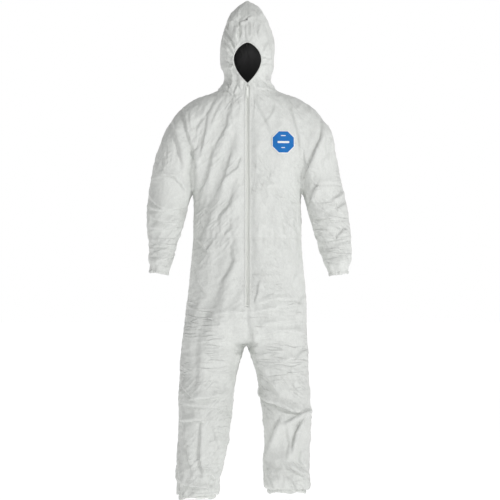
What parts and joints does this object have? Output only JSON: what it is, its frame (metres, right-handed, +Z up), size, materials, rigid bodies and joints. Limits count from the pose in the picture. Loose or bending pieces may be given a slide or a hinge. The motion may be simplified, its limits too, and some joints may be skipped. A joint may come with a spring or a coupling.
{
  "type": "chemical protective suit",
  "caption": "One-piece hooded protective suit with a front zip, elasticated face opening, wrists, waist and ankles.",
  "frame": {"origin": "centre of the neck seam, where the suit hangs from the wearer", "axes": "+Z up along the suit, -Y out of its front, +X to the wearer's left"},
  "size_m": [0.7326, 0.2625, 1.774],
  "materials": {
    "suit_cloth": "matt flash-spun or coated nonwoven, finely creased",
    "hem_cloth": "the same nonwoven, gathered on its elastic",
    "binding_tape": "narrow nonwoven tape",
    "elastic": "ribbed white elastic",
    "hood_inside": "dark, unlit inside",
    "zip_tape": "woven polyester tape",
    "zip_plastic": "off-white nylon",
    "label_white": "printed label, white",
    "label_blue": "printed label, blue",
    "size_label": "woven label, left blank"
  },
  "bodies": {
    "suit_body": {"bodice_front_left": "suit_cloth", "bodice_front_right": "suit_cloth", "bodice_back_left": "suit_cloth", "bodice_back_right": "suit_cloth", "raglan_front_left": "suit_cloth", "raglan_front_right": "suit_cloth", "raglan_back_left": "suit_cloth", "raglan_back_right": "suit_cloth", "trouser_front_left": "suit_cloth", "trouser_front_right": "suit_cloth", "trouser_back_left": "suit_cloth", "trouser_back_right": "suit_cloth", "crotch_gusset": "suit_cloth", "hood_neck_left": "suit_cloth", "hood_neck_right": "suit_cloth", "neck_binding": "binding_tape", "waist_elastic": "elastic", "waist_tunnel": "binding_tape", "zip_tape_left": "zip_tape", "zip_tape_right": "zip_tape", "zip_teeth_left": "zip_plastic", "zip_teeth_right": "zip_plastic", "zip_top_stops": "zip_plastic", "zip_bottom_stop": "zip_plastic", "label_border_patch": "label_white", "label_face": "label_blue", "size_label": "size_label"},
    "hood": {"hood_panel_left": "suit_cloth", "hood_panel_right": "suit_cloth", "hood_liner": "hood_inside", "face_hem": "hem_cloth", "face_elastic": "elastic"},
    "sleeve_left": {"sleeve_front_left": "suit_cloth", "sleeve_back_left": "suit_cloth", "wrist_hem_left": "hem_cloth", "wrist_elastic_left": "elastic"},
    "sleeve_right": {"sleeve_front_right": "suit_cloth", "sleeve_back_right": "suit_cloth", "wrist_hem_right": "hem_cloth", "wrist_elastic_right": "elastic"},
    "leg_left": {"leg_front_left": "suit_cloth", "leg_back_left": "suit_cloth", "ankle_hem_left": "hem_cloth", "ankle_elastic_left": "elastic"},
    "leg_right": {"leg_front_right": "suit_cloth", "leg_back_right": "suit_cloth", "ankle_hem_right": "hem_cloth", "ankle_elastic_right": "elastic"},
    "slider": {"zip_slider": "zip_plastic"},
    "pull": {"pull_tab": "zip_plastic"}
  },
  "joints": [
    {"name": "hood_back", "type": "hinge", "parent": "suit_body", "child": "hood", "pos_m": [0, 0.096, 0.057], "axis": [-1, 0, 0], "range_deg": [0, 110]},
    {"name": "shoulder_left", "type": "hinge", "parent": "suit_body", "child": "sleeve_left", "pos_m": [0.205, 0, -0.13], "axis": [0, -1, 0], "range_deg": [0, 70]},
    {"name": "shoulder_right", "type": "hinge", "parent": "suit_body", "child": "sleeve_right", "pos_m": [-0.205, 0, -0.13], "axis": [0, 1, 0], "range_deg": [0, 70]},
    {"name": "hip_left", "type": "hinge", "parent": "suit_body", "child": "leg_left", "pos_m": [0.12, 0, -0.924], "axis": [-1, 0, 0], "range_deg": [-20, 45]},
    {"name": "hip_right", "type": "hinge", "parent": "suit_body", "child": "leg_right", "pos_m": [-0.134, 0, -0.924], "axis": [-1, 0, 0], "range_deg": [-20, 45]},
    {"name": "zip", "type": "slide", "parent": "suit_body", "child": "slider", "axis": [0, -0.068, -0.9977], "range_m": [0, 0.761]},
    {"name": "pull_tab_hinge", "type": "hinge", "parent": "slider", "child": "pull", "pos_m": [0, -0.08474, 0.02343], "axis": [-1, 0, 0], "range_deg": [0, 150]}
  ]
}
